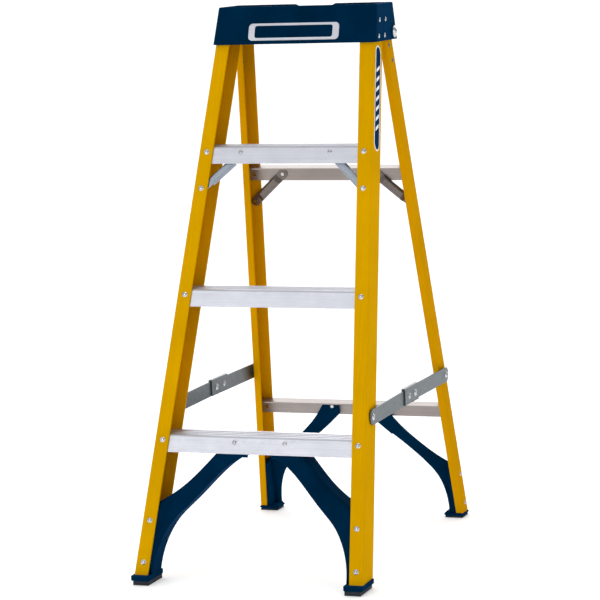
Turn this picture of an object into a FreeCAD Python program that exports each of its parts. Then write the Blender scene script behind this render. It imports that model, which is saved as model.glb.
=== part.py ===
import FreeCAD, Part
import math
import os

# Step ladder, standing open on a level floor. Millimetres.
# +Z is up, +X is the user's right when facing the treads, the treads face -Y.
# Each leaning frame is first drawn upright in its own "plane" coordinates, where x is across the
# ladder, y is depth behind the front face of the rails and z runs up along the rails.
# It is then leaned into place. Only the right-hand pieces are drawn; the left ones are mirrored.

Vec = FreeCAD.Vector
ORIGIN = Vec(0, 0, 0)
X_AXIS = Vec(1, 0, 0)
Y_AXIS = Vec(0, 1, 0)
Z_AXIS = Vec(0, 0, 1)

# ---------------------------------------------------------------- driving dimensions
STEP_PITCH = 304.8            # tread to tread, measured along the front rails
FRONT_SLOPE = 20.2            # degrees the front frame leans back
REAR_SLOPE = 12.6             # degrees the rear frame leans forward
SPLAY_SPAN = 4 * STEP_PITCH   # length over which the splay of the rails is stated

FRONT_HALF_FLOOR = 246.2      # half width over the front rails at the floor
FRONT_HALF_HIGH = 169.0       # and one splay span further up
REAR_HALF_FLOOR = 239.2
REAR_HALF_HIGH = 160.7
REAR_FOOT_Y = 734.4           # floor distance from the front rails' face to the rear rails' face

FRONT_WEB = 65.6
FRONT_FLANGE = 29.3
REAR_WEB = 41.4
REAR_FRONT_FLANGE = 14.7
REAR_REAR_FLANGE = 27.5
FLANGE_THICK = 3.8
WEB_THICK = 3.4
RAIL_CORNER = 2.6
FRONT_RAIL_BOTTOM = 13.0
FRONT_RAIL_TOP = 1127.0
REAR_RAIL_BOTTOM = 9.0

FIT = 0.3                     # gap left between pieces that lie against each other
HOLE_GAP = 0.1                # radial gap round a fixed rivet
RUNNING_GAP = 0.06            # radial gap round a hinge pin
RIVET_SHANK = 2.4
RIVET_HEAD = 5.9
RIVET_TAIL = 3.8
DOME_RISE = 0.42              # height of a rivet's head, as a share of its radius
FLAT_RISE = 0.22              # the same for the flatter heads on the cap and at the pivots
DIMPLE_DEEP = 1.5             # of the small hollow in each rivet's crown

# treads
TREAD_TOPS = (312.0, 616.8, 921.6)     # front top edge of each tread, along the rail
TREAD_NAMES = ("lower_step", "middle_step", "upper_step")
TREAD_SHEET = 2.4
FRONT_APRON = 37.0
REAR_APRON = 26.0
APRON_LIP = 4.0
RIB_COUNT = 3
RIB_START = 11.0              # front of the first rib, behind the tread's front edge
RIB_PITCH = 15.4
RIB_WIDTH = 5.0
RIB_HEIGHT = 1.3

# top cap
CAP_BOTTOM = 1071.5
CAP_TOP = 1149.0
CAP_HALF_BOTTOM = 180.6
CAP_HALF_TOP = 175.0
CAP_FRONT_BOTTOM = 388.4
CAP_FRONT_TOP = 415.6
CAP_REAR_BOTTOM = 545.5
CAP_REAR_TOP = 539.0
CAP_WALL = 3.4
CAP_CORNER = 10.0
CAP_EDGE = 3.2                # rounding of the cap's top edge
CAP_RIM = 9.0
TRAY_DEPTH = 10.0
DECK_THICK = 4.5
TOOL_HOLE_R = 13.0
CAP_DIP_X = 2.0                # the dip in the rear rim: where, how wide and how deep
CAP_DIP_HALF = (50.0, 36.0)
CAP_DIP_DEEP = 5.0
CAP_RIB_X = (-96.0, -32.0, 32.0, 96.0)
CAP_RIB_DEEP = 12.0
SLOT_X = (-64.0, 64.0)        # slots through the tray, with their half width
SLOT_HALF = 22.0
BADGE_HEIGHT = 0.32           # middle of the badge, as a share of the cap's height
BADGE_OUTER = (100.0, 18.6, 9.0)   # half width, half height, corner radius
BADGE_INNER = (86.0, 13.2, 5.0)
BADGE_THICK = 2.4

# label on the right rail
LABEL_PLACE = (36.0, 1034.0)  # middle of the label: depth and distance up the rail
LABEL_SIZE = (17.5, 113.0)    # half width and half length
LABEL_BORDER = 3.2
LABEL_FILM = 0.4
LABEL_SLANT = 7.0
LABEL_GAP = 8.0
LABEL_PITCH = 21.0

# rear frame
PIVOT_ALONG = 1109.2          # pivot of the rear frame, along the rear rail
PIVOT_DEEP = 25.1             # and behind its front face
PIVOT_R = 5.0
PIVOT_WALL_X = CAP_HALF_BOTTOM - (CAP_HALF_BOTTOM - CAP_HALF_TOP) * 0.2   # cap's side at the pivot
PLATE_SHEET = 2.0
PLATE_INSET = 6.0              # gap between the hinge plate's edges and the rail's faces
PLATE_HEAD = 14.0              # reach of its wide part above and below the pivot
PLATE_TONGUE = (29.5, 80.0)    # its narrow part: rear edge and reach below the pivot
BAR_TOPS = (261.2, 811.0)
BAR_NAMES = ("lower_rear_bar", "upper_rear_bar")
BAR_HEIGHT = 34.5
BAR_FRONT = 13.0              # front edge of a bar's flange behind the rear rails' front face
BAR_SHEET = 2.2
BAR_LIP = 3.0                 # thickened front edge of the flange

# spreaders: link widths and the planes that the four sheets lie in, measured from the middle
LINK_WIDTH = 32.0
LINK_SHEET = 2.5
LINK_GAP = 0.4
FRONT_LINK_X = 225.2          # inner face of the front link
SPREADER_FRONT_ALONG = 364.0
SPREADER_FRONT_DEEP = 33.0
SPREADER_REAR_ALONG = 334.0
SPREADER_REAR_DEEP = 20.7
SPREADER_RISE = 2.0           # middle pivot above the line between the end pivots
SPREADER_REACH = {"right": 278.0, "left": 291.0}   # front pivot to middle pivot
FOLD_EDGE = {"right": 70.0, "left": 28.0}          # front edge of the fold ahead of the middle pivot
FOLD_LENGTH = 93.0
LINK_RIVET_R = 4.0
LINK_X0 = FRONT_LINK_X
LINK_X1 = FRONT_LINK_X + LINK_SHEET
INNER_X1 = LINK_X0 - LINK_GAP
INNER_X0 = INNER_X1 - LINK_SHEET
OUTER_X0 = LINK_X1 + LINK_GAP
OUTER_X1 = OUTER_X0 + LINK_SHEET

# straps: rivet places as (x, distance up the rail)
STRAP_WIDTH = 18.0
STRAP_SHEET = 2.0
BRACE_STANDOFF = 6.0          # keeps the strap behind the lip of the tread's apron
UPPER_BRACE_TOP = (98.0, 909.0)
UPPER_BRACE_LOW = (177.5, 831.0)
KNEE_WIDTH = 21.0
KNEE_RISE = 7.0               # how far the rounded back stands in front of the flat ends
KNEE_FACE = REAR_WEB - FLANGE_THICK - BAR_SHEET - 2 * FIT - STRAP_SHEET   # depth of its upper tab
KNEE_LEAN = 0.8               # how much deeper its lower tab lies
KNEE_TOP = (107.4, 791.8)
KNEE_LOW = (177.0, 729.0)

# corner braces: lower and upper curve of each arm as (x, distance up the rail)
ARM_SKIN = 4.5
FRONT_ARM_BACK = 50.0
FRONT_ARM_ROUND = (18.0, 2.5)  # rounding of the front edges, upper side then lower side
FRONT_ARM_LOWER = [(14, 276), (64, 250), (91, 224.4), (140, 169.6), (175.6, 130), (190.5, 103),
                   (200.5, 75), (206, 46), (207.4, 16)]
FRONT_ARM_UPPER = [(236, 156), (208, 171.4), (180, 189.3), (151.6, 212.6), (128.6, 236.2), (95.2, 274.2)]
REAR_ARM_FRONT = 26.5
REAR_ARM_BACK = 34.5
REAR_ARM_ROUND = (1.5, 5.5)
REAR_ARM_LOWER = [(43, 223), (84, 185.5), (112, 162), (138, 138), (163, 112), (181, 87), (191.5, 61),
                  (196.5, 38), (198.5, -12)]
REAR_ARM_UPPER = [(233, 108), (205, 124), (181, 139.5), (155, 160), (129, 183), (104, 208.5), (87, 230),
                  (76, 247)]
REAR_HOOK = [(43, 223), (36, 230), (36, 258.4), (69, 258.4), (76, 247), (87, 230), (84, 185.5)]
REAR_HOOK_RIVET = (50.0, 249.0)
REAR_HEEL = (204.5, 214.0, 36.0)       # fills the arm out to its plug: x from, x to, height up the rail

# feet
FRONT_BOOT = (207.0, 247.6, -7.0, 72.0)    # x from, x to, y from, y to
REAR_BOOT = (195.0, 241.5, 728.5, 779.0)
BOOT_TOP = 19.0
FRONT_PAD_THICK = 9.0
REAR_PAD_THICK = 3.4
REAR_BOOT_HIGH = 14.0
REAR_BOOT_TOE = 6.0            # slope on the boot's inner end
MIDDLE_Y = (FRONT_BOOT[2] + REAR_BOOT[3]) / 2   # moves the middle of the footprint to y = 0

FRONT_SPLAY = math.degrees(math.atan((FRONT_HALF_FLOOR - FRONT_HALF_HIGH) / SPLAY_SPAN))
REAR_SPLAY = math.degrees(math.atan((REAR_HALF_FLOOR - REAR_HALF_HIGH) / SPLAY_SPAN))
SIN_F = math.sin(math.radians(FRONT_SLOPE))
COS_F = math.cos(math.radians(FRONT_SLOPE))
SIN_R = math.sin(math.radians(REAR_SLOPE))
COS_R = math.cos(math.radians(REAR_SLOPE))


# ---------------------------------------------------------------- small helpers
def box(x0, x1, y0, y1, z0, z1):
    return Part.makeBox(x1 - x0, y1 - y0, z1 - z0, Vec(x0, y0, z0))


def rod(radius, start, end):
    span = end - start
    return Part.makeCylinder(radius, span.Length, start, span)


def turned(shape, axis, degrees, centre=ORIGIN):
    result = shape.copy()
    result.rotate(centre, axis, degrees)
    return result


def moved(shape, x=0.0, y=0.0, z=0.0):
    result = shape.copy()
    result.translate(Vec(x, y, z))
    return result


def mirrored(shape):
    return shape.mirror(ORIGIN, X_AXIS)


def both_sides(shape):
    return Part.makeCompound([shape, mirrored(shape)])


def fused(shapes):
    result = shapes[0]
    for shape in shapes[1:]:
        result = result.fuse(shape)
    return result.removeSplitter()


def prism(points, direction):
    """Solid swept from a closed polygon of vectors."""
    return Part.Face(Part.makePolygon(points + [points[0]])).extrude(direction)


def front_half(along):
    """Half width over the front rails' outer faces, in the front plane."""
    return FRONT_HALF_FLOOR - (FRONT_HALF_FLOOR - FRONT_HALF_HIGH) * along / SPLAY_SPAN


def rear_half(along):
    return REAR_HALF_FLOOR - (REAR_HALF_FLOOR - REAR_HALF_HIGH) * along / SPLAY_SPAN


def lean_front(shape):
    return turned(shape, X_AXIS, -FRONT_SLOPE)


def lean_rear(shape):
    return moved(turned(shape, X_AXIS, REAR_SLOPE), y=REAR_FOOT_Y)


def front_point(x, deep, along):
    """Plane coordinates of the front frame turned into ladder coordinates."""
    return Vec(x, along * SIN_F + deep * COS_F, along * COS_F - deep * SIN_F)


def rear_point(x, deep, along):
    return Vec(x, REAR_FOOT_Y - along * SIN_R + deep * COS_R, along * COS_R + deep * SIN_R)


def spun(edges):
    """Solid spun about the y axis from a closed outline in the x-y plane."""
    face = Part.Face(Part.Wire(edges))
    return face.revolve(ORIGIN, Y_AXIS, 360)


def dome_edges(radius, rise=DOME_RISE):
    """Outline of a pressed head with a small dimple, from its crown down to its rim on y = 0."""
    height = rise * radius
    dimple = 0.26 * radius
    floor = Vec(0, DIMPLE_DEEP - height, 0)
    points = [floor, Vec(dimple, DIMPLE_DEEP - height, 0), Vec(dimple, -height, 0)]
    rim = Vec(radius, 0, 0)
    edges = [Part.LineSegment(start, end).toShape() for start, end in zip(points, points[1:])]
    edges.append(Part.Arc(points[-1], Vec(radius * 0.76, -height * 0.60, 0), rim).toShape())
    return floor, rim, edges


def dome_rivet(radius, grip, tail=RIVET_TAIL, rise=DOME_RISE):
    """Rivet along +Y: head at y < 0 and shank to y = grip, then a flat tail if it has a radius."""
    floor, rim, edges = dome_edges(radius, rise)
    corners = [rim, Vec(RIVET_SHANK, 0, 0), Vec(RIVET_SHANK, grip, 0)]
    if tail:
        corners += [Vec(tail, grip, 0), Vec(tail, grip + 1.6, 0), Vec(0, grip + 1.6, 0)]
    else:
        corners.append(Vec(0, grip, 0))
    corners.append(floor)
    for start, end in zip(corners, corners[1:]):
        edges.append(Part.LineSegment(start, end).toShape())
    return spun(edges)


def dome_head(radius):
    """Rivet head alone: towards -Y, flat on y = 0."""
    floor, rim, edges = dome_edges(radius)
    edges.append(Part.LineSegment(rim, ORIGIN).toShape())
    edges.append(Part.LineSegment(ORIGIN, floor).toShape())
    return spun(edges)


def drill(grip):
    """The hole that belongs to a dome_rivet."""
    return rod(RIVET_SHANK + HOLE_GAP, Vec(0, -0.5, 0), Vec(0, grip + 0.5, 0))


# ---------------------------------------------------------------- rails
def channel(depth, front_flange, rear_flange, low, high):
    """Upright channel: web outside on x = 0, flanges pointing to -x, front face on y = 0."""
    outline = [(0, 0), (-front_flange, 0), (-front_flange, FLANGE_THICK), (-WEB_THICK, FLANGE_THICK),
               (-WEB_THICK, depth - FLANGE_THICK), (-rear_flange, depth - FLANGE_THICK),
               (-rear_flange, depth), (0, depth)]
    solid = prism([Vec(x, y, low) for x, y in outline], Vec(0, 0, high - low))

    def upright_edges(places):
        chosen = []
        for edge in solid.Edges:
            mid = edge.CenterOfMass
            if edge.Length > 0.9 * (high - low):
                if any(abs(mid.x - x) < 0.01 and abs(mid.y - y) < 0.01 for x, y in places):
                    chosen.append(edge)
        return chosen

    solid = solid.makeFillet(RAIL_CORNER, upright_edges([(0, 0), (0, depth)]))
    tips = [(-front_flange, 0), (-rear_flange, depth)]
    return solid.makeFillet(1.2, upright_edges(tips))


def on_front_rail(shape):
    """From rail coordinates (web on x = 0) to the leaning, splayed right front rail."""
    return lean_front(moved(turned(shape, Y_AXIS, -FRONT_SPLAY), x=FRONT_HALF_FLOOR))


def on_rear_rail(shape):
    return lean_rear(moved(turned(shape, Y_AXIS, -REAR_SPLAY), x=REAR_HALF_FLOOR))


def front_rail():
    raw = channel(FRONT_WEB, FRONT_FLANGE, FRONT_FLANGE, -60, 1290)
    slab = box(0, 400, -200, 900, FRONT_RAIL_BOTTOM, FRONT_RAIL_TOP)
    return on_front_rail(raw).common(slab)


def rear_rail():
    raw = channel(REAR_WEB, REAR_FRONT_FLANGE, REAR_REAR_FLANGE, -60, PIVOT_ALONG + 40)
    below = box(-60, 20, -10, 60, -80, PIVOT_ALONG)
    crown = rod(22.0, Vec(-60, PIVOT_DEEP, PIVOT_ALONG), Vec(20, PIVOT_DEEP, PIVOT_ALONG))
    shaped = raw.common(below.fuse(crown))
    bore = rod(PIVOT_R + RUNNING_GAP, pivot_point(100), pivot_point(240))
    slab = box(0, 400, 0, 900, REAR_RAIL_BOTTOM, 1300)
    return on_rear_rail(shaped).common(slab).cut(bore)


def pivot_point(x):
    return rear_point(x, PIVOT_DEEP, PIVOT_ALONG)


def bay(half_width, web, clearance):
    """Everything between the webs' inner faces, in plane coordinates."""
    inset = WEB_THICK * 1.002 + clearance
    low, high = -100.0, 1300.0
    corners = [Vec(-half_width(low) + inset, -40, low), Vec(half_width(low) - inset, -40, low),
               Vec(half_width(high) - inset, -40, high), Vec(-half_width(high) + inset, -40, high)]
    return prism(corners, Vec(0, web + 90, 0))


# ---------------------------------------------------------------- treads and bars
def tread(top):
    """Level ribbed tread with front and rear aprons, in the front frame's plane coordinates."""
    front = FLANGE_THICK + FIT
    rear = FRONT_WEB - FLANGE_THICK - FIT
    run = (rear - front) / COS_F

    def spot(back, drop=0.0):
        """Point a level distance behind the front edge, then straight down the rail."""
        return Vec(0, front + back * COS_F, top + back * SIN_F - drop)

    points = [spot(0, 4.0), spot(0.8, 1.2), spot(3.0, 0.0)]
    rib = ((0.0, 0.0), (0.5, RIB_HEIGHT), (RIB_WIDTH - 0.5, RIB_HEIGHT), (RIB_WIDTH, 0.0))
    for index in range(RIB_COUNT):
        start = RIB_START + index * RIB_PITCH
        for across, height in rib:
            points.append(spot(start + across, -height))
    sheet = TREAD_SHEET
    points += [spot(run), spot(run, REAR_APRON), spot(run - APRON_LIP, REAR_APRON),
               spot(run - APRON_LIP, REAR_APRON - sheet), spot(run - sheet, REAR_APRON - sheet),
               spot(run - sheet, sheet), spot(sheet, sheet + 1.4), spot(sheet, FRONT_APRON - sheet),
               spot(APRON_LIP, FRONT_APRON - sheet), spot(APRON_LIP, FRONT_APRON),
               spot(0, FRONT_APRON)]
    raw = moved(prism(points, Vec(520, 0, 0)), x=-260)
    return lean_front(raw.common(bay(front_half, FRONT_WEB, FIT)))


def rear_bar(top):
    """Aluminium angle: web at the back of the rails, flange forward with a thicker front edge."""
    low = top - BAR_HEIGHT
    back = REAR_WEB - FLANGE_THICK - FIT
    sheet = BAR_SHEET
    outline = [(BAR_FRONT, top), (BAR_FRONT, top - BAR_LIP), (BAR_FRONT + sheet, top - BAR_LIP),
               (BAR_FRONT + sheet, top - sheet), (back - sheet, top - sheet), (back - sheet, low),
               (back, low), (back, top)]
    raw = prism([Vec(-250, y, z) for y, z in outline], Vec(500, 0, 0))
    return lean_rear(raw.common(bay(rear_half, REAR_WEB, FIT)))


# ---------------------------------------------------------------- top cap
def cap_ring(inset, z):
    """Rounded outline of the cap at height z, moved inward by inset."""
    share = (z - CAP_BOTTOM) / (CAP_TOP - CAP_BOTTOM)
    half = CAP_HALF_BOTTOM + (CAP_HALF_TOP - CAP_HALF_BOTTOM) * share - inset
    front = CAP_FRONT_BOTTOM + (CAP_FRONT_TOP - CAP_FRONT_BOTTOM) * share + inset
    rear = CAP_REAR_BOTTOM + (CAP_REAR_TOP - CAP_REAR_BOTTOM) * share - inset
    radius = max(CAP_CORNER - inset, 2.0)
    slant = radius * math.sqrt(0.5)
    corners = ((half, front, 1, -1), (half, rear, 1, 1), (-half, rear, -1, 1), (-half, front, -1, -1))
    edges = []
    ends = []
    for x, y, side_x, side_y in corners:
        centre = Vec(x - side_x * radius, y - side_y * radius, z)
        beside = centre + Vec(side_x * radius, 0, 0)
        ahead = centre + Vec(0, side_y * radius, 0)
        middle = centre + Vec(side_x * slant, side_y * slant, 0)
        first, last = (ahead, beside) if side_x * side_y < 0 else (beside, ahead)
        ends.append((first, last))
        edges.append(Part.Arc(first, middle, last).toShape())
    for index in range(4):
        start = ends[index][1]
        stop = ends[(index + 1) % 4][0]
        edges.append(Part.LineSegment(start, stop).toShape())
    return Part.Wire(Part.__sortEdges__(edges))


def cap_block(inset, low, high):
    return Part.makeLoft([cap_ring(inset, low), cap_ring(inset, high)], True, True)


def cap_ribs(deck_under):
    """Stiffening ribs under the deck, clear of the rails."""
    ribs = []
    low, high = deck_under - CAP_RIB_DEEP, deck_under + 0.5
    for x in CAP_RIB_X:
        ribs.append(box(x - 1.5, x + 1.5, 420, 530, low, high))
    ribs.append(box(-128, 128, 474, 477, low, high))
    return ribs


def top_cap():
    deck_top = CAP_TOP - TRAY_DEPTH
    deck_under = deck_top - DECK_THICK
    body = cap_block(0, CAP_BOTTOM, CAP_TOP)
    rim = [edge for edge in body.Edges if edge.BoundBox.ZMin > CAP_TOP - 0.01]
    body = body.makeFillet(CAP_EDGE, rim)
    body = body.cut(cap_block(CAP_WALL, CAP_BOTTOM, deck_under))
    body = body.cut(cap_block(CAP_RIM, deck_top, CAP_TOP))
    body = fused([body] + cap_ribs(deck_under))
    body = body.cut(cap_tray_holes(deck_under, deck_top))
    dip_front = CAP_REAR_TOP - 2 * CAP_RIM
    high, low = CAP_TOP + 2.0, CAP_TOP - CAP_DIP_DEEP
    wide, narrow = CAP_DIP_HALF
    dip = prism([Vec(-wide, dip_front, high), Vec(-narrow, dip_front, low),
                 Vec(narrow, dip_front, low), Vec(wide, dip_front, high)], Vec(0, 40, 0))
    body = body.cut(moved(dip, x=CAP_DIP_X))
    for side in (-1, 1):
        body = body.cut(rod(PIVOT_R + HOLE_GAP, pivot_point(side * 150), pivot_point(side * 200)))
    return body


def cap_tray_holes(low, high):
    """Round tool holes and two slots through the deck and the ribs below it."""
    tools = []
    bottom = low - CAP_RIB_DEEP - 1
    for x, y, radius in tool_hole_places():
        tools.append(rod(radius, Vec(x, y, bottom), Vec(x, y, high + 1)))
    for x in SLOT_X:
        tools.append(box(x - SLOT_HALF, x + SLOT_HALF, 438, 452, bottom, high + 1))
    return Part.makeCompound(tools)


def tool_hole_places():
    """Centre and radius of each round hole in the tray."""
    return [(0.0, 500.0, TOOL_HOLE_R), (0.0, 446.0, 8.0), (-64.0, 500.0, 10.0), (64.0, 500.0, 10.0)]


def plate_outline(half_wide, half_high, radius):
    """Rounded rectangle about the origin in the x-z plane."""
    flat = box(-half_wide, half_wide, 0, 1, -half_high, half_high)
    uprights = [edge for edge in flat.Edges if edge.BoundBox.YLength > 0.9]
    rounded = flat.makeFillet(radius, uprights)
    return min(rounded.Faces, key=lambda face: face.CenterOfMass.y)


def on_badge(shape):
    """Lays a piece drawn about the origin on the middle of the cap's sloping front."""
    lift = (CAP_TOP - CAP_BOTTOM) * BADGE_HEIGHT
    slope = math.degrees(math.atan((CAP_FRONT_TOP - CAP_FRONT_BOTTOM) / (CAP_TOP - CAP_BOTTOM)))
    y = CAP_FRONT_BOTTOM + (CAP_FRONT_TOP - CAP_FRONT_BOTTOM) * BADGE_HEIGHT - FIT
    return moved(turned(shape, X_AXIS, -slope), 0, y, CAP_BOTTOM + lift)


def badge_frame():
    outer = plate_outline(*BADGE_OUTER).extrude(Vec(0, -BADGE_THICK, 0))
    inner = moved(plate_outline(*BADGE_INNER), y=1).extrude(Vec(0, -BADGE_THICK - 2, 0))
    rim = [edge for edge in outer.Edges if edge.BoundBox.YMax < 0.01 - BADGE_THICK]
    return on_badge(outer.makeChamfer(0.7, rim).cut(inner))


def badge_field():
    """Plain plate inside the frame, with three level grooves."""
    half_wide, half_high, radius = BADGE_INNER
    field = plate_outline(half_wide - HOLE_GAP, half_high - HOLE_GAP, radius).extrude(Vec(0, -1.2, 0))
    grooves = []
    for z in (-6.5, 0.0, 6.5):
        grooves.append(box(-half_wide + 12, half_wide - 12, -2.0, -0.8, z - 0.8, z + 0.8))
    return on_badge(field.cut(Part.makeCompound(grooves)))


# ---------------------------------------------------------------- straps
def strap_section(half, lip, sheet, rounding):
    """Channel section in the y-z plane: rounded back on y = 0, lips towards +y."""
    def outline(reach, depth, back, radius):
        slant = radius * (1 - math.sqrt(0.5))
        points = [Vec(0, depth, -reach), Vec(0, back + radius, -reach), Vec(0, back + slant, -reach + slant),
                  Vec(0, back, -reach + radius), Vec(0, back, reach - radius),
                  Vec(0, back + slant, reach - slant), Vec(0, back + radius, reach), Vec(0, depth, reach)]
        edges = [Part.LineSegment(points[0], points[1]).toShape(),
                 Part.Arc(points[1], points[2], points[3]).toShape(),
                 Part.LineSegment(points[3], points[4]).toShape(),
                 Part.Arc(points[4], points[5], points[6]).toShape(),
                 Part.LineSegment(points[6], points[7]).toShape(),
                 Part.LineSegment(points[7], points[0]).toShape()]
        return Part.Face(Part.Wire(edges))
    outer = outline(half, lip, 0.0, rounding)
    inner = outline(half - sheet, lip + 1, sheet, rounding - sheet * 0.6)
    return outer.cut(inner)


def strap(start, end, normal, width, lip, tab, rise=0.0):
    """Pressed strap: flat round-ended tabs joined by a stretch of rounded channel.

    start and end are its rivet centres on the tabs' outer face; normal points from the rounded
    back towards the lips; rise is how far that back stands out from the tabs."""
    run = end - start
    length = run.Length
    half = width / 2
    sheet = STRAP_SHEET
    span = Vec(length - 2 * tab, 0, 0)
    shell = moved(strap_section(half, lip, sheet, half * 0.6).extrude(span), tab, -rise)
    if rise:
        shell = sloped_ends(shell, half, lip, tab, length, rise)
    pieces = [shell]
    for centre, low, high in ((0, 0, tab + 3), (length, length - tab - 3, length)):
        pieces.append(rod(half, Vec(centre, 0, 0), Vec(centre, sheet, 0)))
        pieces.append(box(low, high, 0, sheet, -half * 0.98, half * 0.98))
    body = fused(pieces)
    along = run.normalize()
    deep = (normal - along * normal.dot(along)).normalize()
    across = along.cross(deep)
    matrix = FreeCAD.Matrix(along.x, deep.x, across.x, start.x, along.y, deep.y, across.y, start.y,
                            along.z, deep.z, across.z, start.z, 0, 0, 0, 1)
    body.Placement = FreeCAD.Placement(matrix)
    return body


def sloped_ends(shell, half, lip, tab, length, rise):
    """Slopes the raised channel down to the tabs and closes its ends."""
    slope = 1.6 * rise
    solid = moved(strap_section(half, lip, half * 0.9, half * 0.6).extrude(Vec(length - 2 * tab, 0, 0)),
                  tab, -rise)
    for x, inward in ((tab, 1), (length - tab, -1)):
        def slab(near, far):
            """Slice between two slanted planes, measured along the strap from its end."""
            points = [Vec(x + inward * near, 0, -half - 1), Vec(x + inward * far, 0, -half - 1),
                      Vec(x + inward * (far + slope), -rise - 1, -half - 1),
                      Vec(x + inward * (near + slope), -rise - 1, -half - 1)]
            return prism(points, Vec(0, 0, 2 * half + 2))
        shell = shell.fuse(solid.common(slab(0.0, STRAP_SHEET)))
        shell = shell.cut(slab(-length / 2, 0.0))
    return shell


def upper_step_brace():
    x, along = UPPER_BRACE_TOP
    behind_apron = FLANGE_THICK + FIT + BRACE_STANDOFF
    start = front_point(x, behind_apron, along)
    x, along = UPPER_BRACE_LOW
    end = front_point(x, FLANGE_THICK + 3 * FIT, along)
    return strap(start, end, Vec(0, COS_F, -SIN_F), STRAP_WIDTH, 9.0, 24.0)


def rear_knee_brace():
    """Strap from the rear flange of the rail up to the web of the upper bar, in front of both."""
    start = rear_point(KNEE_TOP[0], KNEE_FACE, KNEE_TOP[1])
    end = rear_point(KNEE_LOW[0], KNEE_FACE + KNEE_LEAN, KNEE_LOW[1])
    return strap(start, end, Vec(0, COS_R, SIN_R), KNEE_WIDTH, KNEE_RISE, 12.0, KNEE_RISE)


# ---------------------------------------------------------------- corner braces with boots
def smooth(points):
    curve = Part.BSplineCurve()
    curve.interpolate(points)
    return curve.toShape()


def arm_wire(lower, upper, deep, level):
    """Closed outline of an arm in plane coordinates, from its lower and upper curves.

    level is the slant of the outline's depth: how far the outline climbs per unit of depth."""
    def spot(point):
        return Vec(point[0], deep, point[1] + deep * level)
    low_points = [spot(point) for point in lower]
    high_points = [spot(point) for point in upper]
    edges = [smooth(low_points), Part.LineSegment(low_points[-1], high_points[0]).toShape(),
             smooth(high_points), Part.LineSegment(high_points[-1], low_points[0]).toShape()]
    return Part.Wire(edges)


def inset_points(points, distance):
    """Points moved to the left of the direction of travel."""
    result = []
    last = len(points) - 1
    for index, (x, z) in enumerate(points):
        x0, z0 = points[max(index - 1, 0)]
        x1, z1 = points[min(index + 1, last)]
        run = math.hypot(x1 - x0, z1 - z0)
        result.append((x - (z1 - z0) / run * distance, z + (x1 - x0) / run * distance))
    return result


def arm(lower, upper, front, back, level, roundings):
    """Moulded arm between two depths.

    roundings are radii: the front edge along the upper side, then along the lower side."""
    body = Part.makeLoft([arm_wire(lower, upper, front, level), arm_wire(lower, upper, back, level)],
                         True, True)
    for points, radius in zip((upper, lower), roundings):
        body = body.makeFillet(radius, [nearest_edge(body, points, front, level)])
    return body


def nearest_edge(body, points, deep, level):
    """The edge of a body that runs through the middle of a curve at a depth."""
    x, z = points[len(points) // 2]
    spot = Part.Vertex(Vec(x, deep, z + deep * level))
    return min(body.Edges, key=lambda item: item.distToShape(spot)[0])


def arm_pocket(lower, upper, front, back, level):
    """Hollow in an arm's back, with thin sides and a front thick enough for the rounding."""
    inner_low = inset_points(lower, ARM_SKIN)
    inner_high = inset_points(upper, ARM_SKIN)
    start, stop = front + 2 * ARM_SKIN, back + 1.0
    return Part.makeLoft([arm_wire(inner_low, inner_high, start, level),
                          arm_wire(inner_low, inner_high, stop, level)], True, True)


def boot_block(sizes, low, high, radius, bevel):
    x0, x1, y0, y1 = sizes
    block = box(x0, x1, y0, y1, low, high)
    uprights = [edge for edge in block.Edges if abs(edge.Vertexes[0].Z - edge.Vertexes[-1].Z) > 1]
    block = block.makeFillet(radius, uprights)
    rim = [edge for edge in block.Edges if abs(edge.BoundBox.ZMax - low) < 0.01]
    return block.makeChamfer(bevel, rim)


def front_corner_brace():
    """Blue moulding: boot round the rail's foot, plug inside the channel and arm up to the tread."""
    front = FLANGE_THICK + FIT
    back = FRONT_WEB - FLANGE_THICK - FIT
    level = SIN_F / COS_F
    lower = [(x, z - front * level) for x, z in FRONT_ARM_LOWER]
    upper = [(x, z - front * level) for x, z in FRONT_ARM_UPPER]
    body = arm(lower, upper, front, FRONT_ARM_BACK, level, FRONT_ARM_ROUND)
    pocket = arm_pocket(lower, upper, front, FRONT_ARM_BACK, level)
    arm_floor = box(0, 300, -100, 200, BOOT_TOP + 30, 1300)
    pocket = lean_front(pocket).common(arm_floor)
    plug = box(215, 300, front, back, -20, 110).common(bay(front_half, FRONT_WEB, FIT))
    behind_lip = front + APRON_LIP + FIT
    tab = lean_front(box(26, 84, behind_lip, behind_lip + ARM_SKIN, 270, 304))
    inside = fused([lean_front(body).cut(pocket), lean_front(plug), tab])
    inside = inside.common(lean_front(bay(front_half, FRONT_WEB, FIT)))
    apron_low = TREAD_TOPS[0] - FRONT_APRON - FIT
    apron_space = lean_front(box(-10, 300, front - 1, behind_lip, apron_low, 400))
    inside = inside.cut(apron_space).cut(front_tread_keepout())
    boot = boot_block(FRONT_BOOT, FRONT_PAD_THICK, BOOT_TOP, 4.0, 1.5)
    cavity = on_front_rail(box(-FRONT_FLANGE - 0.6, FIT, -FIT, FRONT_WEB + FIT, -60, 60))
    cavity = cavity.common(box(0, 400, -200, 300, FRONT_RAIL_BOTTOM - FIT, 400))
    above = box(0, 400, -100, 200, FRONT_PAD_THICK, 400)
    return fused([boot.cut(cavity), inside.common(above)])


def front_tread_keepout():
    """Space under and behind the lower tread's top that the brace stays out of."""
    top = TREAD_TOPS[0]
    front = FLANGE_THICK + FIT
    rear = FRONT_WEB
    drop = TREAD_SHEET + 0.5
    run = (rear - front) / COS_F
    low = [Vec(-10, front, top - drop), Vec(-10, front + run * COS_F, top + run * SIN_F - drop),
           Vec(-10, front + run * COS_F, top + 120), Vec(-10, front, top + 120)]
    return lean_front(prism(low, Vec(300, 0, 0)))


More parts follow.
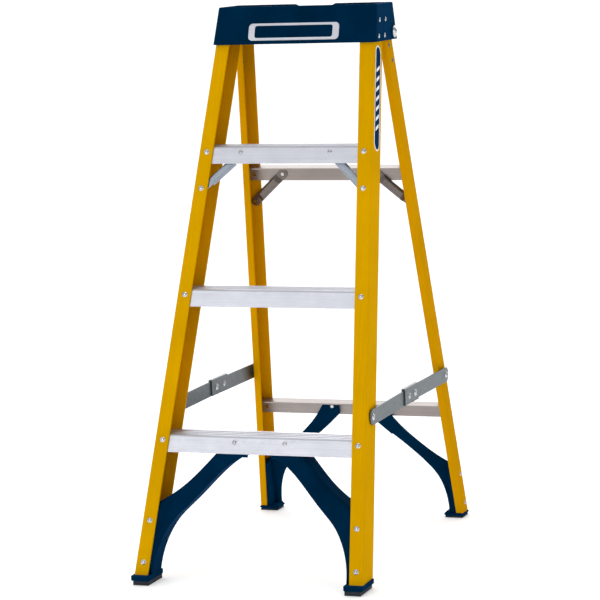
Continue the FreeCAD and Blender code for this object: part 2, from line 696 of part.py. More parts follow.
def rear_corner_brace():
    """Blue moulding: rear boot, plug inside the rear channel and flat arm up to the lower bar."""
    front = FLANGE_THICK + FIT
    back = REAR_WEB - FLANGE_THICK - FIT
    body = arm(REAR_ARM_LOWER, REAR_ARM_UPPER, REAR_ARM_FRONT, REAR_ARM_BACK, 0.0, REAR_ARM_ROUND)
    outer_edge = nearest_edge(body, REAR_ARM_UPPER, REAR_ARM_BACK, 0.0)
    body = body.makeFillet(REAR_ARM_ROUND[1], [outer_edge])
    hook = prism([Vec(x, REAR_ARM_FRONT, z) for x, z in REAR_HOOK],
                 Vec(0, REAR_ARM_BACK - REAR_ARM_FRONT, 0))
    plug = box(212, 300, front, back, -20, 112)
    heel = box(REAR_HEEL[0], REAR_HEEL[1], REAR_ARM_FRONT, REAR_ARM_BACK, -20, REAR_HEEL[2])
    inside = fused([body, hook, plug, heel]).common(bay(rear_half, REAR_WEB, FIT))
    boot = boot_block(REAR_BOOT, REAR_PAD_THICK, REAR_BOOT_HIGH, 7.0, 4.0)
    toe = [edge for edge in boot.Edges if edge.BoundBox.ZMin > REAR_BOOT_HIGH - 0.01
           and edge.BoundBox.XMax < REAR_BOOT[0] + 0.01]
    boot = boot.makeChamfer(REAR_BOOT_TOE, toe)
    cavity = on_rear_rail(box(-REAR_REAR_FLANGE - 0.6, FIT, -FIT, REAR_WEB + FIT, -60, 60))
    cavity = cavity.common(box(0, 400, 0, 900, REAR_RAIL_BOTTOM - FIT, 400))
    above = box(0, 400, 0, 900, REAR_PAD_THICK, 400)
    return fused([boot.cut(cavity), lean_rear(inside).common(above)])


def grooved_pad(x0, x1, y0, y1, thick, groove, pitch):
    """Rubber foot pad with grooves across its underside."""
    pad = box(x0, x1, y0, y1, 0, thick)
    grooves = []
    count = int((y1 - y0 - pitch) / pitch)
    first = (y0 + y1 - (count - 1) * pitch) / 2
    for index in range(count):
        y = first + index * pitch
        grooves.append(prism([Vec(x0 - 1, y - 1.8, -1), Vec(x0 - 1, y - 0.8, groove),
                              Vec(x0 - 1, y + 0.8, groove), Vec(x0 - 1, y + 1.8, -1)],
                             Vec(x1 - x0 + 2, 0, 0)))
    return pad.cut(Part.makeCompound(grooves))


# ---------------------------------------------------------------- spreaders
def spreader_front(x):
    return front_point(x, SPREADER_FRONT_DEEP, SPREADER_FRONT_ALONG)


def spreader_rear(x):
    return rear_point(x, SPREADER_REAR_DEEP, SPREADER_REAR_ALONG)


def spreader_middle(x, side):
    start = spreader_front(x)
    run = spreader_rear(x) - start
    run.normalize()
    up = Vec(0, -run.z, run.y)
    return start + run * SPREADER_REACH[side] + up * SPREADER_RISE


def bar_between(start, end, x0, x1, width):
    """Flat bar with round ends between two pivots, its faces on x0 and x1."""
    run = end - start
    half = width / 2
    pieces = []
    for centre in (start, end):
        pieces.append(rod(half, Vec(x0, centre.y, centre.z), Vec(x1, centre.y, centre.z)))
    side = Vec(0, -run.z, run.y).normalize() * half
    corners = [start + side, end + side, end - side, start - side]
    pieces.append(prism([Vec(x0, p.y, p.z) for p in corners], Vec(x1 - x0, 0, 0)))
    return fused(pieces)


def pin_hole(centre, radius, x0, x1):
    return rod(radius, Vec(x0, centre.y, centre.z), Vec(x1, centre.y, centre.z))


def front_link(side):
    start = spreader_front(0)
    middle = spreader_middle(0, side)
    body = bar_between(start, middle, LINK_X0, LINK_X1, LINK_WIDTH)
    for centre in (start, middle):
        body = body.cut(pin_hole(centre, LINK_RIVET_R + RUNNING_GAP, LINK_X0 - 1, LINK_X1 + 1))
    return body


def rear_link(side):
    """Flat bar whose front end is folded over the top of the front link."""
    middle = spreader_middle(0, side)
    end = spreader_rear(0)
    along = (end - middle).normalize()
    up = Vec(0, -along.z, along.y)
    half = LINK_WIDTH / 2
    edge = FOLD_EDGE[side]
    roof = half + LINK_GAP + 0.2

    def sheet(back_from, back_to, low, high, x0, x1):
        corners = [middle + along * back_from + up * low, middle + along * back_to + up * low,
                   middle + along * back_to + up * high, middle + along * back_from + up * high]
        return prism([Vec(x0, p.y, p.z) for p in corners], Vec(x1 - x0, 0, 0))

    fold_back = FOLD_LENGTH - edge
    bar = bar_between(middle, end, INNER_X0, INNER_X1, LINK_WIDTH)
    cheek_in = sheet(-edge, fold_back, -half, roof + LINK_SHEET, INNER_X0, INNER_X1)
    cheek_out = sheet(-edge, fold_back, -half, roof + LINK_SHEET, OUTER_X0, OUTER_X1)
    lid = sheet(-edge, fold_back, roof, roof + LINK_SHEET, INNER_X0, OUTER_X1)
    body = fused([bar, cheek_in, cheek_out, lid])
    long_edges = []
    for item in body.Edges:
        mid = item.CenterOfMass
        height = (mid - middle).dot(up)
        if item.Length > 60 and height > roof + LINK_SHEET - 0.1 and abs(mid.x - OUTER_X1) < 0.1:
            long_edges.append(item)
    body = body.makeFillet(1.8, long_edges)
    nick = sheet(48 - edge - 3, 48 - edge + 3, -half - 1, -half + 3, INNER_X0 - 1, OUTER_X1 + 1)
    body = body.cut(nick)
    hole = LINK_RIVET_R + HOLE_GAP
    body = body.cut(pin_hole(middle, hole, INNER_X0 - 1, OUTER_X1 + 1))
    return body


def link_head(centre, x, direction, radius=7.0):
    """Domed rivet head standing on the face at x; direction is +1 outward or -1 inward."""
    return moved(turned(dome_head(radius), Z_AXIS, 90 * direction), x, centre.y, centre.z)


def middle_pivot(side):
    """Rivet through both cheeks of the fold and the front link."""
    centre = spreader_middle(0, side)
    shank = pin_hole(centre, LINK_RIVET_R, INNER_X0, OUTER_X1)
    return fused([shank, link_head(centre, OUTER_X1, 1), link_head(centre, INNER_X0, -1)])


def fold_rivets(side):
    """The fold's other rivet: two heads with nothing between the cheeks."""
    middle = spreader_middle(0, side)
    along = (spreader_rear(0) - middle).normalize()
    offset = 28.0 - FOLD_EDGE[side] if side == "right" else 45.0
    centre = middle + along * offset
    return Part.makeCompound([link_head(centre, OUTER_X1, 1, 6.0), link_head(centre, INNER_X0, -1, 6.0)])


def rear_end_head():
    return link_head(spreader_rear(0), INNER_X1, 1)


def spreader_front_rivet():
    """Rivet that carries the front link on the front rail, with a washer behind the link."""
    centre = spreader_front(0)
    web_face = front_half(SPREADER_FRONT_ALONG)
    inside = web_face - WEB_THICK - 1.2
    shank = pin_hole(centre, LINK_RIVET_R, inside, LINK_X1 + FIT + 0.5)
    washer = pin_hole(centre, 9.0, web_face + 0.8, LINK_X0 - FIT)
    tail = pin_hole(centre, 7.0, inside - 2.0, inside)
    return fused([shank, washer, tail, link_head(centre, LINK_X1 + FIT, 1)])


def spreader_rear_stud():
    """Stud and spacer on the rear rail that end just short of the rear link."""
    centre = spreader_rear(0)
    web_face = rear_half(SPREADER_REAR_ALONG)
    inside = web_face - WEB_THICK - 1.2
    shank = pin_hole(centre, LINK_RIVET_R, inside, INNER_X0 - 0.4)
    spacer = pin_hole(centre, 9.0, web_face + 0.8, INNER_X0 - 0.4)
    tail = pin_hole(centre, 7.0, inside - 2.0, inside)
    return fused([shank, spacer, tail])


# ---------------------------------------------------------------- rear pivot
def pivot_bolt():
    """Shouldered bolt through the cap's side and the rear rail, with its washers and nut."""
    rail_face = rear_half(PIVOT_ALONG)
    outer = PIVOT_WALL_X + 1.3
    inner = rail_face - WEB_THICK - PLATE_SHEET - FIT - 1.0
    shank = rod(PIVOT_R, pivot_point(inner - 6), pivot_point(outer))
    washer = rod(13.0, pivot_point(outer), pivot_point(outer + 1.8))
    head = Part.makeSphere(12.0, pivot_point(outer - 5.2)).common(
        rod(10.0, pivot_point(outer + 1.8), pivot_point(outer + 12)))
    nut = rod(9.0, pivot_point(inner - 6), pivot_point(inner))
    return fused([shank, washer, head, nut])


def pivot_spacer():
    """Nylon spacer between the cap's side and the rear rail."""
    rail_face = rear_half(PIVOT_ALONG)
    start = rail_face + 1.4
    end = PIVOT_WALL_X - CAP_WALL - 1.4
    ring = rod(12.0, pivot_point(start), pivot_point(end))
    return ring.cut(rod(PIVOT_R + HOLE_GAP, pivot_point(start - 1), pivot_point(end + 1)))


def hinge_plate():
    """Steel plate inside the top of the rear channel: wide round the pivot, narrower below."""
    outer = -WEB_THICK - FIT
    inner = outer - PLATE_SHEET
    low, high = PIVOT_ALONG - PLATE_HEAD, PIVOT_ALONG + PLATE_HEAD
    head = box(inner, outer, PLATE_INSET, REAR_WEB - PLATE_INSET, low, high)
    tongue = box(inner, outer, PLATE_INSET, PLATE_TONGUE[0], PIVOT_ALONG - PLATE_TONGUE[1], low)
    plate = fused([head, tongue])
    bore = rod(PIVOT_R + RUNNING_GAP, pivot_point(100), pivot_point(240))
    return on_rear_rail(plate).cut(bore)


# ---------------------------------------------------------------- rivets
def placed(rivet, hole, turn, x, y, z, lean):
    """A rivet and its hole, turned about z, moved and leaned into place together."""
    return tuple(lean(moved(turned(item, Z_AXIS, turn), x, y, z)) for item in (rivet, hole))


def flange_rivet(x, along, deep, grip, lean, facing=1, radius=RIVET_HEAD, tail=RIVET_TAIL):
    """Rivet across a frame's plane at (x, along), with its head on the face at depth deep."""
    return placed(dome_rivet(radius, grip, tail), drill(grip), 0 if facing > 0 else 180,
                  x, deep, along, lean)


def web_rivet(deep, along, grip, lean, x=0.0, radius=RIVET_HEAD, tail=RIVET_TAIL, rise=DOME_RISE):
    """Rivet through an upright wall at x, with its head outside."""
    return placed(dome_rivet(radius, grip, tail, rise), drill(grip), 90, x, deep, along, lean)


def front_flange_middle(along):
    return front_half(along) - FRONT_FLANGE / 2 - 1.5


def step_rivets():
    """Each tread through the front and the rear flange of the rail."""
    made = []
    grip = FLANGE_THICK + FIT + TREAD_SHEET
    for top in TREAD_TOPS:
        along = top - 12.4
        made.append(flange_rivet(front_flange_middle(along), along, 0, grip, lean_front))
        along = top + FRONT_WEB * SIN_F / COS_F - 14.0
        made.append(flange_rivet(front_flange_middle(along), along, FRONT_WEB, grip, lean_front, -1))
    return made


def step_brace_rivets():
    face = FLANGE_THICK + FIT
    x, along = UPPER_BRACE_TOP
    grip = BRACE_STANDOFF + STRAP_SHEET + 0.9
    made = [flange_rivet(x, along, face, grip, lean_front, radius=5.2)]
    x, along = UPPER_BRACE_LOW
    made.append(flange_rivet(x, along, 0, face + STRAP_SHEET + 1.5, lean_front))
    return made


def front_corner_rivets():
    made = []
    for along in (132.5, 46.7):
        made.append(flange_rivet(front_flange_middle(along) + 0.6, along, 0, 14.0, lean_front, tail=0))
    grip = APRON_LIP + FIT + ARM_SKIN + 0.2
    made.append(flange_rivet(54.4, 299.0, FLANGE_THICK + FIT, grip, lean_front, radius=5.2, tail=3.6))
    return made


def cap_rivets():
    """Four a side, in level rows, through the cap's wall and the front rail's web."""
    made = []
    for deep, along in ((20.0, 1196.0), (56.5, 1209.4), (17.0, 1160.0), (53.5, 1173.4)):
        spot = front_point(0, deep, along)
        share = (spot.z - CAP_BOTTOM) / (CAP_TOP - CAP_BOTTOM)
        face = CAP_HALF_BOTTOM + (CAP_HALF_TOP - CAP_HALF_BOTTOM) * share + 0.5
        grip = face - front_half(along) + WEB_THICK + 0.8
        made.append(web_rivet(spot.y, spot.z, grip, moved, x=face, radius=4.6, tail=3.4,
                              rise=FLAT_RISE))
    return made


def hinge_plate_rivets():
    grip = WEB_THICK + FIT + PLATE_SHEET + 0.1
    return [web_rivet(deep, along, grip, on_rear_rail, radius=5.2, rise=FLAT_RISE)
            for deep, along in ((18.0, 1083.5), (24.0, 1049.0))]


def rear_bar_rivets():
    """Each bar's web through the rear flange of the rail."""
    grip = FLANGE_THICK + FIT + BAR_SHEET + 0.1
    made = []
    for top in BAR_TOPS:
        along = top - 0.6 * BAR_HEIGHT
        x = rear_half(along) - REAR_REAR_FLANGE / 2 - 1.5
        made.append(flange_rivet(x, along, REAR_WEB, grip, lean_rear, -1))
    return made


def rear_brace_rivets():
    """Knee brace to the rail and the bar, corner brace to the bar and the rail's web."""
    web_back = REAR_WEB - FLANGE_THICK - FIT
    low_grip = REAR_WEB - KNEE_FACE - KNEE_LEAN + 0.1
    made = [flange_rivet(*KNEE_LOW, REAR_WEB, low_grip, lean_rear, -1),
            flange_rivet(*KNEE_TOP, web_back, web_back - KNEE_FACE + 0.1, lean_rear, -1),
            flange_rivet(*REAR_HOOK_RIVET, web_back, web_back - REAR_ARM_FRONT + 0.1, lean_rear, -1)]
    for along in (93.0, 24.0):
        made.append(web_rivet(30.0, along, WEB_THICK + 7.0, on_rear_rail, radius=4.6, tail=0))
    return made


# ---------------------------------------------------------------- label on the right rail
def on_web(shape):
    """Lays a piece drawn about the origin on the outer face of the right front web."""
    deep, along = LABEL_PLACE
    return on_front_rail(moved(turned(shape, Z_AXIS, 90), 0.02, deep, along))


def rail_label():
    half_wide, half_long = LABEL_SIZE
    film = plate_outline(half_wide, half_long, half_wide - 0.1)
    return on_web(film.extrude(Vec(0, -LABEL_FILM, 0)))


def rail_label_print():
    """Blue print on the film with a row of plain slanted gaps."""
    half_wide = LABEL_SIZE[0] - LABEL_BORDER
    half_long = LABEL_SIZE[1] - LABEL_BORDER
    ink = moved(plate_outline(half_wide, half_long, half_wide - 0.1), y=-LABEL_FILM - 0.02)
    ink = ink.extrude(Vec(0, -0.15, 0))
    gaps = []
    reach = half_wide - 4.0
    for index in range(-3, 4):
        low = index * LABEL_PITCH - LABEL_GAP / 2
        corners = [Vec(-reach, 0, low - LABEL_SLANT), Vec(reach, 0, low + LABEL_SLANT),
                   Vec(reach, 0, low + LABEL_SLANT + LABEL_GAP),
                   Vec(-reach, 0, low - LABEL_SLANT + LABEL_GAP)]
        gaps.append(prism(corners, Vec(0, -2, 0)))
    return on_web(ink.cut(Part.makeCompound(gaps)))


# ---------------------------------------------------------------- assembly
def drilled(shape, holes):
    near = [hole for hole in holes if shape.BoundBox.intersect(hole.BoundBox)]
    if not near:
        return shape
    return shape.cut(Part.makeCompound(near))


def build_nodes():
    nodes = {}
    rivet_groups = {
        "cap_rivets": cap_rivets(),
        "step_rivets": step_rivets(),
        "step_brace_rivets": step_brace_rivets(),
        "front_corner_rivets": front_corner_rivets(),
        "hinge_plate_rivets": hinge_plate_rivets(),
        "rear_bar_rivets": rear_bar_rivets(),
        "rear_brace_rivets": rear_brace_rivets(),
    }
    front_holes = []
    rear_holes = []
    for name, made in rivet_groups.items():
        target = rear_holes if name.startswith(("rear", "hinge")) else front_holes
        target += [hole for _, hole in made]
        nodes[name] = both_sides(Part.makeCompound([rivet for rivet, _ in made]))

    front_pin = spreader_front(0)
    rear_pin = spreader_rear(0)
    rail_r = drilled(front_rail(), front_holes)
    rail_r = rail_r.cut(pin_hole(front_pin, LINK_RIVET_R + HOLE_GAP, 200, 240))
    rear_r = drilled(rear_rail(), rear_holes)
    rear_r = rear_r.cut(pin_hole(rear_pin, LINK_RIVET_R + HOLE_GAP, 200, 240))
    front_brace = drilled(front_corner_brace(), front_holes)
    rear_brace = drilled(rear_corner_brace(), rear_holes)
    sided = {
        "front_rail": rail_r,
        "rear_rail": rear_r,
        "upper_step_brace": drilled(upper_step_brace(), front_holes),
        "front_corner_brace": front_brace,
        "front_foot_pad": grooved_pad(209.5, 243.0, -4.5, 69.5, FRONT_PAD_THICK, 4.0, 9.0),
        "rear_knee_brace": drilled(rear_knee_brace(), rear_holes),
        "rear_corner_brace": rear_brace,
        "rear_foot_pad": grooved_pad(198.5, 238.5, 732.5, 775.0, REAR_PAD_THICK, 1.6, 7.0),
        "pivot_bolt": pivot_bolt(),
        "pivot_spacer": pivot_spacer(),
        "hinge_plate": drilled(hinge_plate(), rear_holes),
        "spreader_front_rivet": spreader_front_rivet(),
        "spreader_rear_stud": spreader_rear_stud(),
    }
    for name, shape in sided.items():
        nodes[name + "_right"] = shape
        nodes[name + "_left"] = mirrored(shape)

    holes_both = front_holes + [mirrored(hole) for hole in front_holes]
    rear_both = rear_holes + [mirrored(hole) for hole in rear_holes]
    for name, top in zip(TREAD_NAMES, TREAD_TOPS):
        nodes[name] = drilled(tread(top), holes_both)
    for name, top in zip(BAR_NAMES, BAR_TOPS):
        nodes[name] = drilled(rear_bar(top), rear_both)
    nodes["top_cap"] = drilled(top_cap(), holes_both)
    nodes["badge_frame"] = badge_frame()
    nodes["badge_field"] = badge_field()
    nodes["rail_label"] = rail_label()
    nodes["rail_label_print"] = rail_label_print()

    for side in ("right", "left"):
        pieces = {
            "front_link": front_link(side),
            "rear_link": rear_link(side),
            "middle_pivot": middle_pivot(side),
            "fold_rivets": fold_rivets(side),
            "rear_end_rivet": rear_end_head(),
        }
        for name, shape in pieces.items():
            nodes["spreader_" + name + "_" + side] = shape if side == "right" else mirrored(shape)
    return nodes


def main():
    os.makedirs("parts", exist_ok=True)
    for name, shape in build_nodes().items():
        moved(shape, y=-MIDDLE_Y).exportStep("parts/" + name + ".step")


main()
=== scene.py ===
"""Looks, floor, light and camera for a fibreglass step ladder. Lengths are in metres."""
import math

import bpy
from mathutils import Matrix, Vector

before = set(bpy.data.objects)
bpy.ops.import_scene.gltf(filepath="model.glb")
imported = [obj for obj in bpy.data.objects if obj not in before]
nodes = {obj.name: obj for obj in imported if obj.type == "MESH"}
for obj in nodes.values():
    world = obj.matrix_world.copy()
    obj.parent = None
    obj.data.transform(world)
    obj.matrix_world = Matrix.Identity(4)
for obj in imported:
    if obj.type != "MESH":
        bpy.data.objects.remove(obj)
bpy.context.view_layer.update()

# ---------------------------------------------------------------- the ladder's own lines
FRONT_SLOPE = math.radians(20.2)       # the front frame leans back
REAR_SLOPE = math.radians(12.6)        # the rear frame leans forward

# ---------------------------------------------------------------- surfaces
RESIN_GRAIN = 1400.0                   # grains of a moulded surface per metre
BADGE_GRAIN = 2500.0
INK_GRAIN = 3000.0
RESIN_SHEEN = 0.20                     # the blue resin's satin sheen, seen at a slant
SHEEN_ROUGHNESS = 0.45
SPANGLES = 230.0                       # zinc crystals per metre
DULL = 0.001                           # specular level of the fibreglass and the resin

# ---------------------------------------------------------------- floor and studio
FLOOR_REACH = 300.0                    # so that the floor runs to the horizon
FLOOR_GLOW = 0.30                      # evens out the floor's shadows
WALL_SEEN = 1.0                        # brightness of the studio walls themselves
WALL_LIGHT = (0.80, 0.42)              # light the walls give from the left and from the right
WALL_TURN = (-0.5, 0.6)                # sideways part of a direction where the one becomes the other
GLOW = 1.9                             # extra light from the lit wall behind the ladder
GLOW_FROM = Vector((-0.34, 0.86, 0.38))
GLOW_EDGE = 0.55                       # cosine of the angle at which that light has faded out
SOFT_LIGHTS = (                        # name, place, size and power of each softbox
    ("key", (-1.6, -4.2, 2.4), (2.2, 2.2), 26),
    ("fill", (3.8, -1.4, 1.8), (2.0, 2.4), 16),
    ("top", (0.2, 0.4, 4.2), (2.5, 2.5), 24),
)
LIT_POINT = Vector((0, 0, 0.5))        # what the softboxes are turned to

# ---------------------------------------------------------------- view of the camera
VIEW_YAW = math.radians(19.75)
VIEW_PITCH = math.radians(7.71)
VIEW_ROLL = math.radians(-1.97)
VIEW_DISTANCE = 5.4768
VIEW_TARGET = Vector((0.1360, -0.3860, 0.5888))
VIEW_LENS = 167.8                      # millimetres, like the sensor
SENSOR_WIDTH = 36.0
VIEW_END = 2 * FLOOR_REACH


def srgb(red, green, blue):
    """Linear colour from values of 0 to 255."""
    def linear(value):
        value = value / 255
        return value / 12.92 if value <= 0.04045 else ((value + 0.055) / 1.055) ** 2.4
    return (linear(red), linear(green), linear(blue), 1.0)


# ---------------------------------------------------------------- nodes
def add_node(tree, kind, **settings):
    made = tree.nodes.new(kind)
    for key, value in settings.items():
        setattr(made, key, value)
    return made


def ranged(tree, source, start, end, low, high):
    """Map Range node that turns start..end into low..high."""
    made = add_node(tree, "ShaderNodeMapRange")
    for key, value in (("From Min", start), ("From Max", end), ("To Min", low), ("To Max", high)):
        made.inputs[key].default_value = value
    tree.links.new(source, made.inputs["Value"])
    return made


class Maker:
    """A material and short ways to add nodes to it."""

    def __init__(self, name):
        self.material = bpy.data.materials.new(name)
        self.material.use_nodes = True
        self.tree = self.material.node_tree
        self.shader = self.tree.nodes["Principled BSDF"]

    def node(self, kind, **settings):
        return add_node(self.tree, kind, **settings)

    def link(self, start, end):
        self.tree.links.new(start, end)

    def set(self, **values):
        """Give the shader's own sockets plain values; an underscore stands for a space."""
        for key, value in values.items():
            self.shader.inputs[key.replace("_", " ")].default_value = value

    def coords(self, scale=(1, 1, 1), turn=(0, 0, 0)):
        """Object coordinates in metres, turned and then stretched."""
        source = self.node("ShaderNodeTexCoord").outputs["Object"]
        if any(turn):
            rotate = self.node("ShaderNodeMapping")
            rotate.inputs["Rotation"].default_value = turn
            self.link(source, rotate.inputs["Vector"])
            source = rotate.outputs["Vector"]
        mapping = self.node("ShaderNodeMapping")
        mapping.inputs["Scale"].default_value = scale
        self.link(source, mapping.inputs["Vector"])
        return mapping.outputs["Vector"]

    def noise(self, vector, scale, detail=3.0, rough=0.5):
        made = self.node("ShaderNodeTexNoise")
        made.inputs["Scale"].default_value = scale
        made.inputs["Detail"].default_value = detail
        made.inputs["Roughness"].default_value = rough
        self.link(vector, made.inputs["Vector"])
        return made.outputs["Fac"]

    def ramp(self, factor, stops):
        """Colour between stops, each given as (place, colour)."""
        made = self.node("ShaderNodeValToRGB")
        ramp = made.color_ramp
        while len(ramp.elements) < len(stops):
            ramp.elements.new(0.5)
        for element, (place, colour) in zip(ramp.elements, stops):
            element.position = place
            element.color = colour
        self.link(factor, made.inputs["Fac"])
        return made.outputs["Color"]

    def spread(self, factor, low, high, start=0.0, end=1.0):
        """Value that runs from low to high while the factor runs from start to end."""
        return ranged(self.tree, factor, start, end, low, high).outputs["Result"]

    def product(self, first, second):
        """Two colours multiplied."""
        made = self.node("ShaderNodeMix", data_type="RGBA", blend_type="MULTIPLY")
        factor, colour_a, colour_b = made.inputs[0], made.inputs[6], made.inputs[7]
        factor.default_value = 1.0
        self.link(first, colour_a)
        self.link(second, colour_b)
        return made.outputs[2]

    def bump(self, height, strength, distance, below=None):
        """Normal for a height of 0 to 1 times a distance, on top of another bump's normal."""
        made = self.node("ShaderNodeBump")
        made.inputs["Strength"].default_value = strength
        made.inputs["Distance"].default_value = distance
        self.link(height, made.inputs["Height"])
        if below is not None:
            self.link(below, made.inputs["Normal"])
        return made.outputs["Normal"]

    def colour(self, output):
        self.link(output, self.shader.inputs["Base Color"])

    def roughness(self, output):
        self.link(output, self.shader.inputs["Roughness"])

    def normal(self, output):
        self.link(output, self.shader.inputs["Normal"])


# ---------------------------------------------------------------- materials
def fibreglass(name, slope, low, high):
    """Pultruded resin: glass rovings run along a rail of this slope, under a smooth gel."""
    m = Maker(name)
    along = m.coords(scale=(700, 700, 9), turn=(slope, 0, 0))
    plain = m.coords()
    rovings = m.noise(along, 1.0, 4.0, 0.6)
    patches = m.noise(plain, 9.0, 3.0)
    base = m.ramp(rovings, [(0.25, low), (0.75, high)])
    shade = m.ramp(patches, [(0.3, (0.90, 0.90, 0.90, 1)), (0.7, (1, 1, 1, 1))])
    m.colour(m.product(base, shade))
    m.roughness(m.spread(rovings, 0.46, 0.62))
    veil = m.noise(plain, 900.0, 2.0)
    m.normal(m.bump(rovings, 0.20, 0.0004, m.bump(veil, 0.06, 0.0003)))
    m.set(Specular_IOR_Level=DULL)
    return m.material


def moulded_resin(name, low, high, grain=RESIN_GRAIN, sheen=0.0):
    """Injection-moulded plastic with a fine spark-eroded grain and faint flow marks."""
    m = Maker(name)
    plain = m.coords()
    flow = m.noise(plain, 14.0, 4.0, 0.6)
    fine = m.noise(plain, grain, 2.0)
    m.colour(m.ramp(flow, [(0.3, low), (0.7, high)]))
    m.roughness(m.spread(fine, 0.40, 0.56))
    m.normal(m.bump(fine, 0.16, 0.0004, m.bump(flow, 0.05, 0.002)))
    m.set(Specular_IOR_Level=DULL, Sheen_Weight=sheen, Sheen_Roughness=SHEEN_ROUGHNESS,
          Sheen_Tint=srgb(0, 110, 190))
    return m.material


def mill_aluminium(name, low, high, turn=(0, 0, 0)):
    """Extruded aluminium with die lines along X, a few light scuffs and faint stains."""
    m = Maker(name)
    lines = m.noise(m.coords(scale=(5, 900, 900), turn=turn), 1.0, 3.0, 0.6)
    scuffs = m.noise(m.coords(scale=(60, 400, 400), turn=(0.5, 0.3, 0.2)), 1.0, 5.0, 0.7)
    cloud = m.noise(m.coords(), 25.0, 3.0)
    base = m.ramp(lines, [(0.3, low), (0.7, high)])
    stain = m.ramp(cloud, [(0.35, (0.93, 0.93, 0.94, 1)), (0.65, (1, 1, 1, 1))])
    m.colour(m.product(base, stain))
    m.roughness(m.spread(scuffs, 0.32, 0.48, 0.3, 0.7))
    m.normal(m.bump(lines, 0.14, 0.0003, m.bump(scuffs, 0.05, 0.0003)))
    m.set(Metallic=0.82)
    return m.material


def galvanised(name, low, high, gloss=0.40, patchy=0.04):
    """Zinc spangle: flat crystals that differ slightly in brightness and gloss."""
    m = Maker(name)
    cells = m.node("ShaderNodeTexVoronoi", feature="F1")
    cells.inputs["Scale"].default_value = SPANGLES
    m.link(m.coords(), cells.inputs["Vector"])
    crystal = m.node("ShaderNodeSeparateColor")
    m.link(cells.outputs["Color"], crystal.inputs["Color"])
    m.colour(m.ramp(crystal.outputs["Red"], [(0.1, low), (0.9, high)]))
    m.roughness(m.spread(crystal.outputs["Green"], gloss - patchy, gloss + patchy))
    fine = m.noise(m.coords(), 800.0, 3.0)
    m.normal(m.bump(fine, 0.12, 0.0003))
    m.set(Metallic=0.85)
    return m.material


def plated_steel(name):
    """Bright zinc on rivets and bolts, with a fine grain."""
    m = Maker(name)
    fine = m.noise(m.coords(), 1500.0, 3.0)
    cloud = m.noise(m.coords(), 160.0, 2.0)
    m.colour(m.ramp(cloud, [(0.3, srgb(168, 170, 174)), (0.7, srgb(212, 214, 218))]))
    m.roughness(m.spread(fine, 0.10, 0.18))
    m.normal(m.bump(fine, 0.10, 0.0002))
    m.set(Metallic=1.0)
    return m.material


def pad_rubber(name):
    """Dark rubber with some dust on it."""
    m = Maker(name)
    fine = m.noise(m.coords(), 900.0, 4.0, 0.7)
    dust = m.noise(m.coords(), 60.0, 4.0, 0.6)
    m.colour(m.ramp(dust, [(0.35, srgb(14, 20, 30)), (0.75, srgb(34, 42, 54))]))
    m.roughness(m.spread(fine, 0.68, 0.88))
    m.normal(m.bump(fine, 0.25, 0.0005))
    return m.material


def printed_label(name):
    """White printed film."""
    m = Maker(name)
    plain = m.coords()
    fine = m.noise(plain, 500.0, 2.0)
    m.colour(m.ramp(fine, [(0.2, srgb(225, 228, 234)), (0.8, srgb(240, 242, 246))]))
    m.roughness(m.spread(fine, 0.25, 0.35))
    m.normal(m.bump(fine, 0.05, 0.0002))
    return m.material


MATERIALS = {name: make(name, *look) for name, make, *look in (
    ("front_fibreglass", fibreglass, FRONT_SLOPE, srgb(214, 157, 0), srgb(223, 169, 0)),
    # the rear rails' yellow is darker than the front rails': painted shade on the rear frame, which gets
    # less light
    ("rear_fibreglass", fibreglass, -REAR_SLOPE, srgb(203, 143, 0), srgb(213, 155, 0)),
    ("blue_resin", moulded_resin, srgb(0, 31, 55), srgb(0, 39, 68), RESIN_GRAIN, RESIN_SHEEN),
    ("tread_aluminium", mill_aluminium, srgb(188, 190, 198), srgb(202, 204, 212)),
    # the rear bars' aluminium is a darker copy of the tread aluminium: painted shade for bars that sit
    # in shade
    ("bar_aluminium", mill_aluminium, srgb(151, 144, 142), srgb(167, 160, 157), (-REAR_SLOPE, 0, 0)),
    ("galvanised_steel", galvanised, srgb(91, 99, 104), srgb(99, 107, 112)),
    ("bright_steel", galvanised, srgb(144, 153, 165), srgb(150, 159, 171), 0.26, 0.01),
    # warm grey-brown copy of the galvanised steel: the warm tint is a painted reflection of the yellow
    # rails
    ("knee_steel", galvanised, srgb(112, 105, 102), srgb(118, 111, 108), 0.34, 0.01),
    ("plated_steel", plated_steel),
    ("pad_rubber", pad_rubber),
    ("black_nylon", moulded_resin, srgb(20, 20, 22), srgb(34, 34, 36)),
    ("badge_metal", mill_aluminium, srgb(192, 194, 202), srgb(204, 206, 214)),
    ("badge_blue", moulded_resin, srgb(0, 30, 54), srgb(0, 38, 66), BADGE_GRAIN),
    ("label_film", printed_label),
    ("label_ink", moulded_resin, srgb(2, 44, 82), srgb(4, 52, 94), INK_GRAIN),
)}

LOOKS = (                              # start of a node's name and its material
    ("front_rail", "front_fibreglass"), ("rear_rail", "rear_fibreglass"),
    ("top_cap", "blue_resin"), ("front_corner_brace", "blue_resin"), ("rear_corner_brace", "blue_resin"),
    ("lower_step", "tread_aluminium"), ("middle_step", "tread_aluminium"),
    ("upper_step_brace", "bright_steel"), ("upper_step", "tread_aluminium"),
    ("lower_rear_bar", "bar_aluminium"), ("upper_rear_bar", "bar_aluminium"),
    ("rear_knee_brace", "knee_steel"), ("spreader_front_link", "galvanised_steel"),
    ("spreader_rear_link", "galvanised_steel"), ("hinge_plate", "galvanised_steel"),
    ("front_foot_pad", "pad_rubber"), ("rear_foot_pad", "pad_rubber"), ("pivot_spacer", "black_nylon"),
    ("badge_frame", "badge_metal"), ("badge_field", "badge_blue"),
    ("rail_label_print", "label_ink"), ("rail_label", "label_film"),
)


def look_of(node):
    """The first look whose start fits; rivets, bolts and washers are plated."""
    for start, look in LOOKS:
        if node.startswith(start):
            return MATERIALS[look]
    return MATERIALS["plated_steel"]


for node_name, node_object in nodes.items():
    node_object.data.materials.clear()
    node_object.data.materials.append(look_of(node_name))


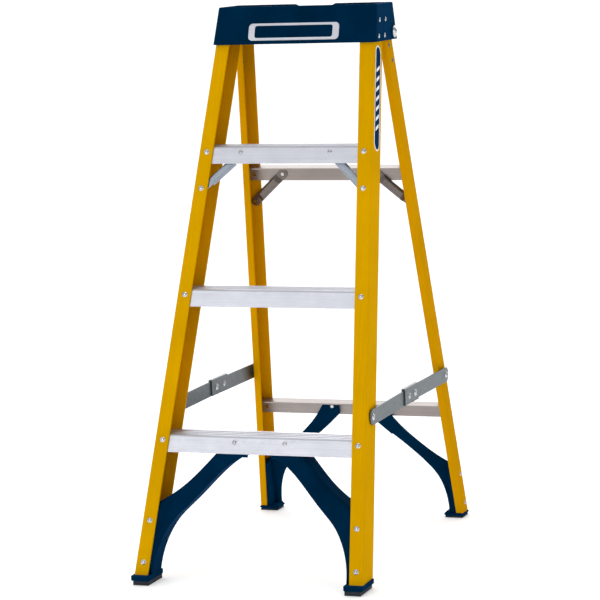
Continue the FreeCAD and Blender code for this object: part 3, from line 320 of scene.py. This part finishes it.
# ---------------------------------------------------------------- floor, light and camera
def floor():
    """Plain pale floor."""
    mesh = bpy.data.meshes.new("floor")
    corners = [(-FLOOR_REACH, -FLOOR_REACH, 0), (FLOOR_REACH, -FLOOR_REACH, 0),
               (FLOOR_REACH, FLOOR_REACH, 0), (-FLOOR_REACH, FLOOR_REACH, 0)]
    mesh.from_pydata(corners, [], [(0, 1, 2, 3)])
    made = bpy.data.objects.new("floor", mesh)
    bpy.context.collection.objects.link(made)
    m = Maker("floor_paint")
    cloud = m.noise(m.coords(), 3.0, 2.0)
    m.colour(m.ramp(cloud, [(0.3, (0.86, 0.86, 0.86, 1)), (0.7, (0.88, 0.88, 0.88, 1))]))
    m.set(Roughness=0.9, Specular_IOR_Level=0.1, Emission_Color=(1, 1, 1, 1),
          Emission_Strength=FLOOR_GLOW)
    mesh.materials.append(m.material)


def soft_light(name, place, size, watts):
    """Rectangular softbox turned to the ladder."""
    data = bpy.data.lights.new(name, "AREA")
    data.shape = "RECTANGLE"
    data.size, data.size_y = size
    data.energy = watts
    made = bpy.data.objects.new(name, data)
    bpy.context.collection.objects.link(made)
    made.location = place
    made.rotation_mode = "QUATERNION"
    made.rotation_quaternion = (LIT_POINT - Vector(place)).to_track_quat("-Z", "Y")


def studio():
    """White walls, brighter on the left and behind, and the softboxes."""
    world = bpy.data.worlds.new("studio")
    world.use_nodes = True
    tree = world.node_tree
    direction = add_node(tree, "ShaderNodeTexCoord").outputs["Generated"]
    sideways = add_node(tree, "ShaderNodeSeparateXYZ")
    tree.links.new(direction, sideways.inputs[0])
    walls = ranged(tree, sideways.outputs["X"], *WALL_TURN, *WALL_LIGHT)
    towards = add_node(tree, "ShaderNodeVectorMath", operation="DOT_PRODUCT")
    tree.links.new(direction, towards.inputs[0])
    towards.inputs[1].default_value = GLOW_FROM.normalized()
    glow = ranged(tree, towards.outputs["Value"], GLOW_EDGE, 1.0, 0.0, GLOW)
    light = add_node(tree, "ShaderNodeMath", operation="ADD")
    tree.links.new(walls.outputs["Result"], light.inputs[0])
    tree.links.new(glow.outputs["Result"], light.inputs[1])
    seen = add_node(tree, "ShaderNodeLightPath").outputs["Is Camera Ray"]
    level = ranged(tree, seen, 0.0, 1.0, 0.0, WALL_SEEN)
    tree.links.new(light.outputs["Value"], level.inputs["To Min"])
    background = tree.nodes["Background"]
    background.inputs["Color"].default_value = (1, 1, 1, 1)
    tree.links.new(level.outputs["Result"], background.inputs["Strength"])
    bpy.context.scene.world = world
    for name, place, size, watts in SOFT_LIGHTS:
        soft_light(name, place, size, watts)


def camera():
    """Camera that looks at the ladder from the front right, a little from above."""
    out = math.cos(VIEW_PITCH)
    back = Vector((math.sin(VIEW_YAW) * out, -math.cos(VIEW_YAW) * out, math.sin(VIEW_PITCH)))
    forward = -back
    level = forward.cross(Vector((0, 0, 1))).normalized()
    upright = level.cross(forward)
    right = level * math.cos(VIEW_ROLL) + upright * math.sin(VIEW_ROLL)
    up = upright * math.cos(VIEW_ROLL) - level * math.sin(VIEW_ROLL)
    data = bpy.data.cameras.new("camera")
    data.lens = VIEW_LENS
    data.sensor_width = SENSOR_WIDTH
    data.clip_end = VIEW_END
    made = bpy.data.objects.new("camera", data)
    bpy.context.collection.objects.link(made)
    turn = Matrix((right, up, back)).transposed().to_4x4()
    made.matrix_world = Matrix.Translation(VIEW_TARGET + back * VIEW_DISTANCE) @ turn
    bpy.context.scene.camera = made


floor()
studio()
camera()
bpy.context.scene.view_settings.view_transform = "Standard"
